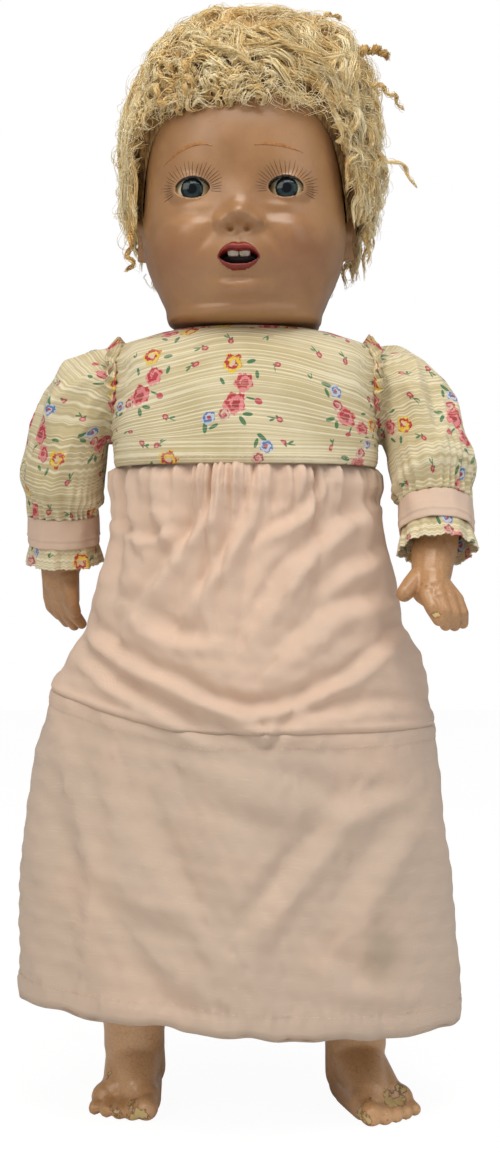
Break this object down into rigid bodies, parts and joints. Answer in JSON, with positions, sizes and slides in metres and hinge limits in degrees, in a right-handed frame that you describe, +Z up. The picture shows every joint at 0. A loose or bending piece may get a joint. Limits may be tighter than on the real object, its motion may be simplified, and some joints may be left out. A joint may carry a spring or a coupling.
{
  "type": "baby doll",
  "caption": "Standing baby doll with composition head, hands and feet, a mohair wig, eyes that close, a tilt voice box in a cloth body, and a long gathered cotton gown.",
  "frame": {"origin": "floor under the middle of the doll: centre of the bounding box across and front to back, at the soles", "axes": "+Z up to the crown, -Y the way the doll faces, +X to the doll's own left hand"},
  "size_m": [0.273, 0.1803, 0.6561],
  "materials": {
    "head_composition": "painted wood-pulp composition under old, dulled varnish, crazed and flaked in places",
    "limb_composition": "painted wood-pulp composition, rubbed, with flakes down to the cream ground coat",
    "mohair": "soft curled mohair, dull sheen, brown in the roots",
    "pate_card": "pressed card, matt",
    "mouth_felt": "dark red felt, matt",
    "celluloid_teeth": "small gloss",
    "tin": "tinned sheet steel, dull",
    "steel_wire": "drawn wire, dull",
    "pad_felt": "brown felt, matt",
    "turned_wood": "turned beech, bare",
    "eye_celluloid": "cream celluloid, glossy",
    "eye_iris": "grey-green iris with dark pupil under a clear glossy front",
    "lead": "cast lead, dull grey",
    "plate_composition": "painted composition, matt",
    "muslin": "unbleached cotton, stuffed firm",
    "can_card": "waxed card tube, matt",
    "brass_reed": "thin rolled brass, dull",
    "bellows_leather": "thin kid leather, matt",
    "fibre": "hard pressed fibre, matt",
    "print_cotton": "cream corded cotton printed with sprigs of small flowers",
    "pink_cotton": "faded pink cotton, gathered, lightly stained",
    "shell_button": "pearly, soft gloss"
  },
  "bodies": {
    "torso": {"shoulder_plate": "plate_composition", "torso_body": "muslin", "voice_can": "can_card", "voice_grille": "can_card", "voice_reed": "brass_reed", "voice_bellows": "bellows_leather", "body_shoulder_discs": "fibre", "body_hip_discs": "fibre", "shoulder_pins": "steel_wire", "hip_pins": "steel_wire", "bodice_front": "print_cotton", "bodice_back": "print_cotton", "back_buttons": "shell_button", "skirt": "pink_cotton"},
    "head": {"head_shell": "head_composition", "crown_pate": "pate_card", "wig": "mohair", "mouth_lining": "mouth_felt", "teeth": "celluloid_teeth", "eye_bracket": "tin", "eye_stop_pad": "pad_felt", "neck_button": "turned_wood", "neck_hook": "steel_wire", "neck_spring": "steel_wire", "neck_washer": "tin"},
    "eyes": {"eyeball_right": "eye_celluloid", "eyeball_left": "eye_celluloid", "iris_right": "eye_iris", "iris_left": "eye_iris", "eye_rod": "steel_wire", "eye_yoke": "tin", "eye_weight": "lead"},
    "arm_right": {"upper_arm_right": "muslin", "arm_disc_right": "fibre", "arm_tie_right": "steel_wire", "forearm_right": "limb_composition", "sleeve_right": "print_cotton", "cuff_band_right": "pink_cotton", "cuff_frill_right": "print_cotton"},
    "arm_left": {"upper_arm_left": "muslin", "arm_disc_left": "fibre", "arm_tie_left": "steel_wire", "forearm_left": "limb_composition", "sleeve_left": "print_cotton", "cuff_band_left": "pink_cotton", "cuff_frill_left": "print_cotton"},
    "leg_right": {"thigh_right": "muslin", "leg_disc_right": "fibre", "leg_tie_right": "steel_wire", "lower_leg_right": "limb_composition"},
    "leg_left": {"thigh_left": "muslin", "leg_disc_left": "fibre", "leg_tie_left": "steel_wire", "lower_leg_left": "limb_composition"},
    "voice_weight": {"voice_weight": "lead"}
  },
  "joints": [
    {"name": "head_turn", "type": "hinge", "parent": "torso", "child": "head", "pos_m": [0, 0, 0.455], "axis": [0, 0, 1], "range_deg": [-60, 60]},
    {"name": "eyes_close", "type": "hinge", "parent": "head", "child": "eyes", "pos_m": [-0.00251, -0.04793, 0.5365], "axis": [0.9986, -0.0523, 0], "range_deg": [0, 65]},
    {"name": "arm_right_swing", "type": "hinge", "parent": "torso", "child": "arm_right", "pos_m": [-0.06, 0, 0.424], "axis": [-1, 0, 0], "range_deg": [-4, 120]},
    {"name": "arm_left_swing", "type": "hinge", "parent": "torso", "child": "arm_left", "pos_m": [0.06, 0, 0.424], "axis": [-1, 0, 0], "range_deg": [0, 95]},
    {"name": "leg_right_swing", "type": "hinge", "parent": "torso", "child": "leg_right", "pos_m": [-0.046, 0, 0.255], "axis": [-1, 0, 0], "range_deg": [-12, 12]},
    {"name": "leg_left_swing", "type": "hinge", "parent": "torso", "child": "leg_left", "pos_m": [0.046, 0, 0.255], "axis": [-1, 0, 0], "range_deg": [-12, 12]},
    {"name": "voice_weight_slide", "type": "slide", "parent": "torso", "child": "voice_weight", "axis": [0, 0, 1], "range_m": [0, 0.015], "deforming": ["voice_bellows"]}
  ]
}
